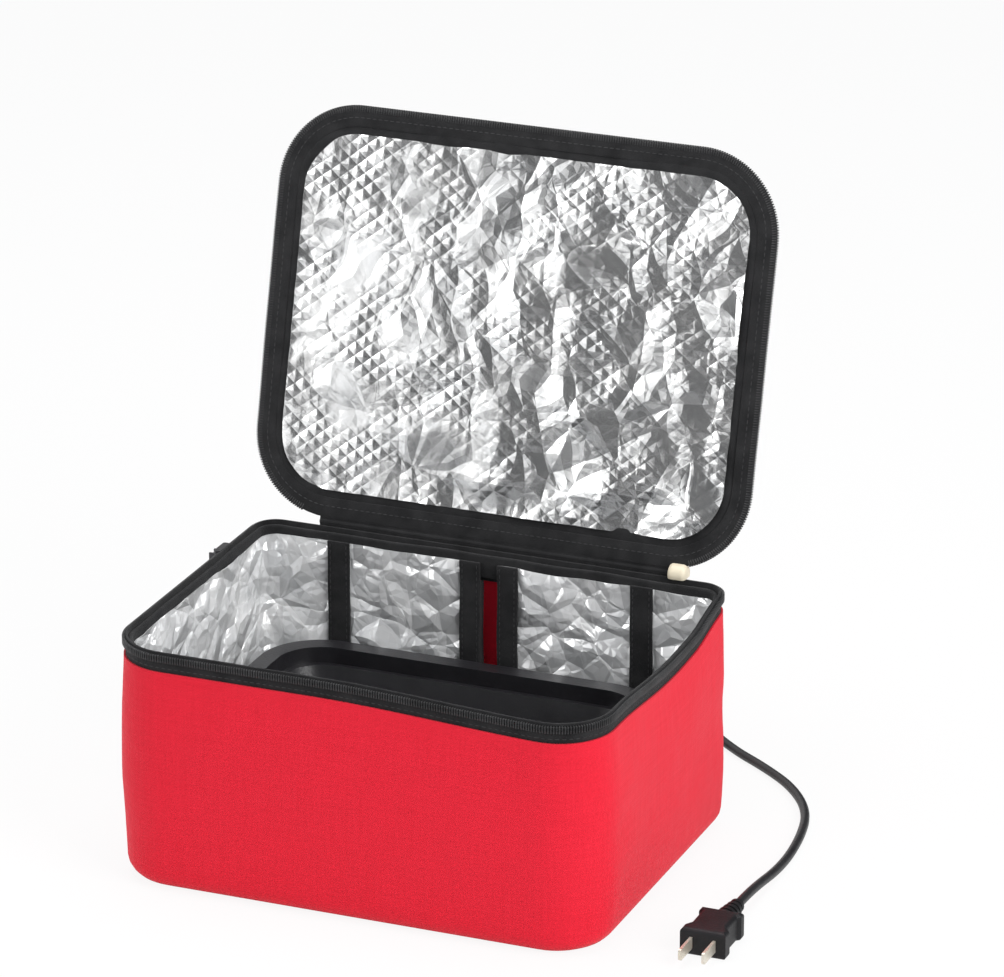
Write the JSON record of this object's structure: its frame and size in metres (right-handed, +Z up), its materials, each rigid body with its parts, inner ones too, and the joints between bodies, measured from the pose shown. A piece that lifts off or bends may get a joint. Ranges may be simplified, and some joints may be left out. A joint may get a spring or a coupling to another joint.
{
  "type": "portable oven",
  "caption": "Soft zip-up food warmer: foil-lined fabric tub, padded lid on a fabric hinge, lift-out electric heating plate, food tray and mains cord.",
  "frame": {"origin": "middle of the bag's base, on the surface that it stands on", "axes": "+X along the bag's long front to the cord's side, +Y from the front to the lid's hinge, +Z up"},
  "size_m": [0.3426, 0.3294, 0.3591],
  "materials": {
    "red_fabric": "fine woven polyester",
    "black_binding": "ribbed binding tape",
    "webbing": "woven webbing",
    "zip_teeth": "moulded coil",
    "zip_metal": "black enamel",
    "cream_plastic": "satin",
    "foil": "crinkled foil film",
    "foam": "closed-cell foam",
    "board": "flat board",
    "housing_plastic": "satin moulding",
    "coated_sheet": "smooth coating",
    "element_steel": "bright",
    "felt": "needle felt",
    "thermostat_case": "phenolic",
    "pan_aluminium": "mill finish",
    "black_rubber": "satin",
    "tie_plastic": "flat strap",
    "plug_plastic": "satin",
    "blade_brass": "bright",
    "tray_plastic": "satin"
  },
  "bodies": {
    "bag": {"outer_shell": "red_fabric", "base_board": "board", "foam_front": "foam", "foam_left": "foam", "foam_right": "foam", "foam_rear_left": "foam", "foam_rear_right": "foam", "foam_floor": "foam", "foil_front": "foil", "foil_left": "foil", "foil_right": "foil", "foil_rear_left": "foil", "foil_rear_right": "foil", "foil_floor": "foil", "slot_bindings": "black_binding", "corner_bindings": "black_binding", "rim_tape": "black_binding", "rim_binding": "black_binding", "bag_zip_chain": "zip_teeth", "zip_end_stop": "cream_plastic", "hinge_bead": "black_binding", "wall_grommet": "black_rubber", "inner_lead": "black_rubber", "cord_lead_in": "black_rubber", "cord_coil": "black_rubber", "cord_lead_out": "black_rubber", "cord_tie": "tie_plastic", "plug_body": "plug_plastic", "plug_relief": "black_rubber", "plug_blades": "blade_brass"},
    "lid": {"lid_cover": "red_fabric", "lid_foam": "foam", "lid_foil": "foil", "lid_binding": "black_binding", "lid_zip_tape": "black_binding", "lid_zip_chain": "zip_teeth", "hinge_tongue": "black_binding", "carry_strap": "webbing"},
    "zip_slider_body": {"zip_slider": "zip_metal"},
    "zip_pull_body": {"zip_pull": "zip_metal"},
    "plate": {"plate_housing": "housing_plastic", "plate_sheet": "coated_sheet", "heating_element": "element_steel", "heater_felt": "felt", "thermostat": "thermostat_case", "sheet_pan": "pan_aluminium", "plate_screws": "element_steel", "plate_gland": "black_rubber"},
    "tray": {"food_tray": "tray_plastic"}
  },
  "joints": [
    {"name": "lid_hinge", "type": "hinge", "parent": "bag", "child": "lid", "pos_m": [0, 0.101, 0.138], "axis": [1, 0, 0], "range_deg": [-75, 104.5]},
    {"name": "zip_slide", "type": "slide", "parent": "bag", "child": "zip_slider_body", "axis": [0, -1, 0], "range_m": [0, 0.1]},
    {"name": "pull_swing", "type": "hinge", "parent": "zip_slider_body", "child": "zip_pull_body", "pos_m": [-0.14198, 0.05, 0.1307], "axis": [0, 1, 0], "range_deg": [0, 100]},
    {"name": "plate_lift", "type": "slide", "parent": "bag", "child": "plate", "axis": [0, 0, 1], "range_m": [0, 0.168], "deforming": ["inner_lead"]},
    {"name": "tray_lift", "type": "slide", "parent": "plate", "child": "tray", "axis": [0, 0, 1], "range_m": [0, 0.145]}
  ]
}
